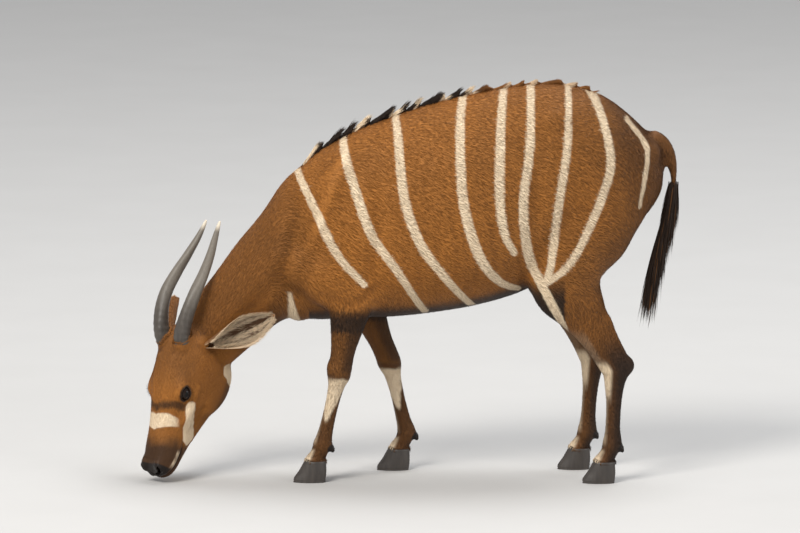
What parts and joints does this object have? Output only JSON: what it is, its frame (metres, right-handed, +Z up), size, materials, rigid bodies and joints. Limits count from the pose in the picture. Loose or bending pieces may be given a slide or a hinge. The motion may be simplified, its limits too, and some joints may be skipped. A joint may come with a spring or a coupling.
{
  "type": "bongo antelope model",
  "caption": "Life-size still model of a bongo antelope with its head down to drink: striped coat, spiral horns, crest along the back, cloven hooves.",
  "frame": {"origin": "on the floor, under the middle of the model's outline", "axes": "+Z up, the animal faces -X, its left side faces -Y"},
  "size_m": [1.5616, 0.4878, 1.179],
  "materials": {
    "coat": "short chestnut hair with cream stripes",
    "leg": "short grey-brown hair",
    "horn": "smooth dark keratin",
    "hoof": "worn dark keratin",
    "eye": "wet gloss"
  },
  "bodies": {
    "root": {"torso": "coat", "neck": "coat", "head": "coat", "tail": "coat", "ear_left": "coat", "ear_right": "coat", "foreleg_left_upper": "coat", "hindleg_left_upper": "coat", "foreleg_left_lower": "leg", "hindleg_left_lower": "leg", "horn_left": "horn", "eye_left": "eye", "hoof_fore_left_a": "hoof", "hoof_fore_left_b": "hoof", "hoof_hind_left_a": "hoof", "hoof_hind_left_b": "hoof", "foreleg_right_upper": "coat", "hindleg_right_upper": "coat", "foreleg_right_lower": "leg", "hindleg_right_lower": "leg", "horn_right": "horn", "eye_right": "eye", "hoof_fore_right_a": "hoof", "hoof_fore_right_b": "hoof", "hoof_hind_right_a": "hoof", "hoof_hind_right_b": "hoof"}
  },
  "joints": []
}
